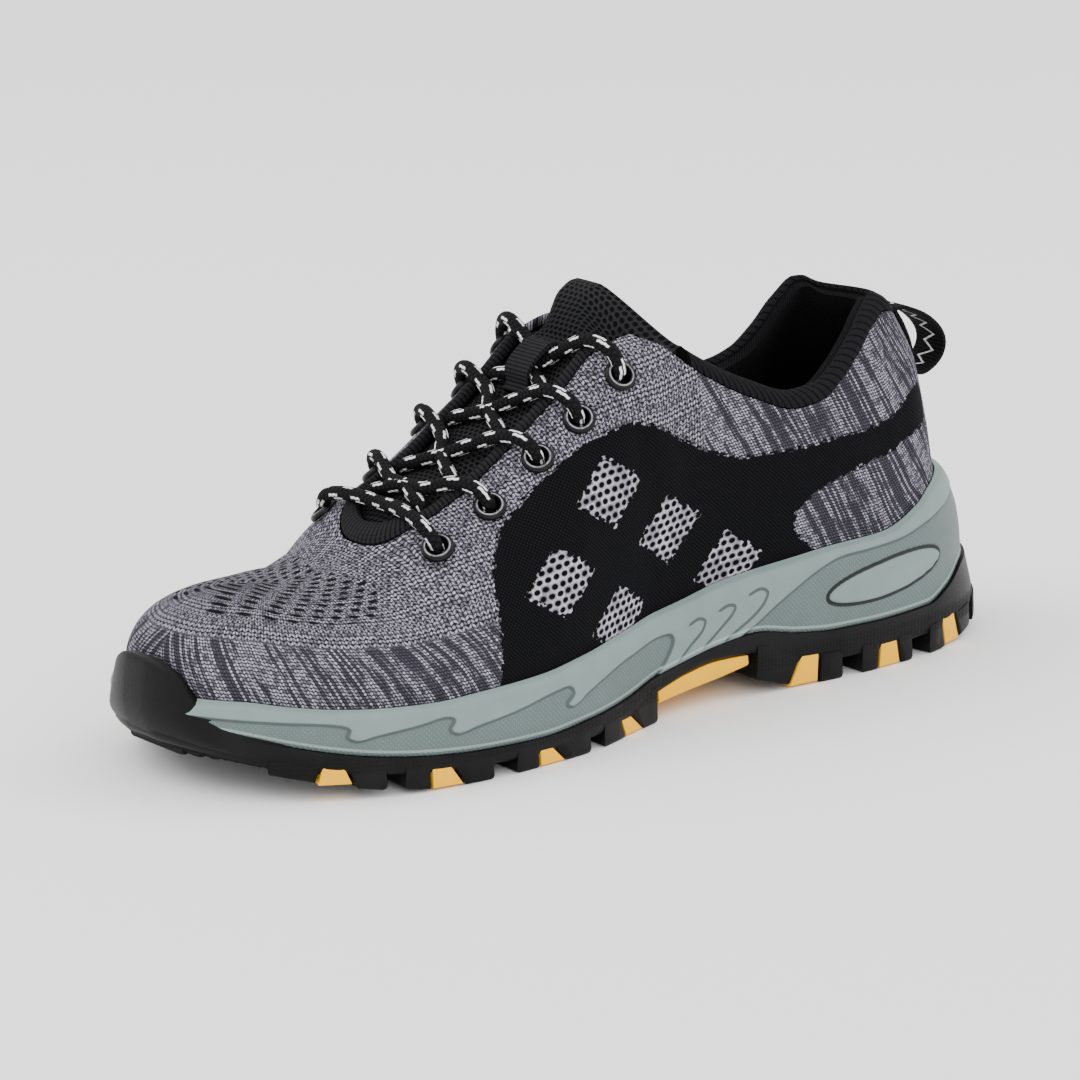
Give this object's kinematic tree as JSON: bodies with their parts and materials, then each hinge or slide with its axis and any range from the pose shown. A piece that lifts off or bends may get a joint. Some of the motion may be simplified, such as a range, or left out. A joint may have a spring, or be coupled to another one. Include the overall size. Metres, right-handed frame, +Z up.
{
  "type": "work shoe",
  "caption": "Low lace-up work shoe in knitted fabric with a foam midsole, lugged rubber sole and coloured lug inserts.",
  "frame": {"origin": "on the ground plane, under the middle of the overall box", "axes": "+X towards the outer (lateral) side, -Y towards the toe, +Z up"},
  "size_m": [0.1076, 0.296, 0.1196],
  "materials": {
    "sole_rubber": "matt moulded black rubber",
    "midsole_foam": "satin moulded foam rubber",
    "insert_rubber": "satin yellow rubber",
    "upper_knit": "two-tone knitted fabric",
    "lining_fabric": "soft black lining",
    "tongue_mesh": "black spacer mesh",
    "webbing": "woven black tape",
    "eyelet_enamel": "gloss black enamel",
    "lace_cord": "braided round cord with pale flecks"
  },
  "bodies": {
    "root": {"outsole": "sole_rubber", "midsole": "midsole_foam", "arch_plate": "insert_rubber", "lug_insert_outer_1": "insert_rubber", "lug_insert_outer_2": "insert_rubber", "lug_insert_outer_3": "insert_rubber", "lug_insert_outer_4": "insert_rubber", "lug_insert_outer_5": "insert_rubber", "lug_insert_outer_6": "insert_rubber", "lug_insert_outer_7": "insert_rubber", "lug_insert_inner_1": "insert_rubber", "lug_insert_inner_2": "insert_rubber", "lug_insert_inner_3": "insert_rubber", "lug_insert_inner_4": "insert_rubber", "lug_insert_inner_5": "insert_rubber", "lug_insert_inner_6": "insert_rubber", "lug_insert_inner_7": "insert_rubber", "upper": "upper_knit", "insole": "lining_fabric", "tongue": "tongue_mesh", "collar": "lining_fabric", "throat_binding": "webbing", "eyelet_outer_1": "eyelet_enamel", "eyelet_outer_2": "eyelet_enamel", "eyelet_outer_3": "eyelet_enamel", "eyelet_outer_4": "eyelet_enamel", "eyelet_outer_5": "eyelet_enamel", "eyelet_inner_1": "eyelet_enamel", "eyelet_inner_2": "eyelet_enamel", "eyelet_inner_3": "eyelet_enamel", "eyelet_inner_4": "eyelet_enamel", "eyelet_inner_5": "eyelet_enamel", "lace_cross_1": "lace_cord", "lace_cross_2": "lace_cord", "lace_cross_3": "lace_cord", "lace_cross_4": "lace_cord", "lace_bar": "lace_cord", "tongue_keeper": "webbing", "pull_loop": "webbing"}
  },
  "joints": []
}
